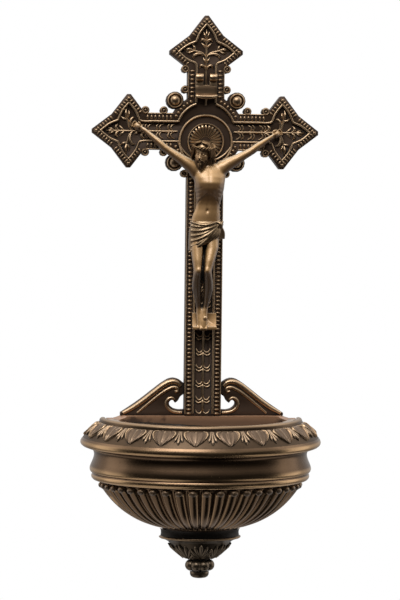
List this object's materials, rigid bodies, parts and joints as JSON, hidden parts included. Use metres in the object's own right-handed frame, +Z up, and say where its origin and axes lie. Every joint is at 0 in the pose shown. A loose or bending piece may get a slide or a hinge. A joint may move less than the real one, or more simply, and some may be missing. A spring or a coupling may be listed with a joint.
{
  "type": "holy water stoup",
  "caption": "Wall-hung holy water stoup: a crucifix with pointed terminals standing on a half-round gadrooned basin with a leaf rim and a pendant.",
  "frame": {"origin": "on the wall plane, in the middle of the bowl's flat back, 30 mm below the lip", "axes": "+X to the viewer's right, +Y into the wall, +Z up; the front faces -Y"},
  "size_m": [0.1206, 0.0422, 0.2802],
  "materials": {
    "satin_bronze": "satin, patinated brown and rubbed back",
    "antique_bronze": "dark antique patina with rubbed high points",
    "rubbed_bronze": "brushed gold-brown, lightly patinated",
    "fixings": "plain zinc-plated"
  },
  "bodies": {
    "root": {"basin_bowl": "satin_bronze", "basin_neck": "satin_bronze", "basin_rim": "satin_bronze", "pendant_collar": "satin_bronze", "pendant_cone": "antique_bronze", "pendant_berries": "antique_bronze", "pendant_button": "antique_bronze", "pendant_stud": "fixings", "shaft_screw_upper": "fixings", "shaft_screw_lower": "fixings", "bracket_dowel_left_outer": "fixings", "bracket_dowel_left_inner": "fixings", "bracket_dowel_right_inner": "fixings", "bracket_dowel_right_outer": "fixings", "scroll_bracket_left": "antique_bronze", "scroll_bracket_right": "antique_bronze", "cross_plate": "antique_bronze", "hanger_plate": "fixings", "hanger_screw_left": "fixings", "hanger_screw_right": "fixings", "cabochon_upper_left": "rubbed_bronze", "cabochon_upper_right": "rubbed_bronze", "cabochon_lower_left": "rubbed_bronze", "cabochon_lower_right": "rubbed_bronze", "nimbus_disc": "antique_bronze", "titulus_scroll": "antique_bronze", "titulus_pin_left": "fixings", "titulus_pin_right": "fixings", "suppedaneum": "rubbed_bronze", "corpus_screw": "fixings", "hand_nail_left": "rubbed_bronze", "hand_nail_right": "rubbed_bronze", "foot_nail": "rubbed_bronze", "corpus_body": "rubbed_bronze", "corpus_arm_left": "rubbed_bronze", "corpus_arm_right": "rubbed_bronze"}
  },
  "joints": []
}
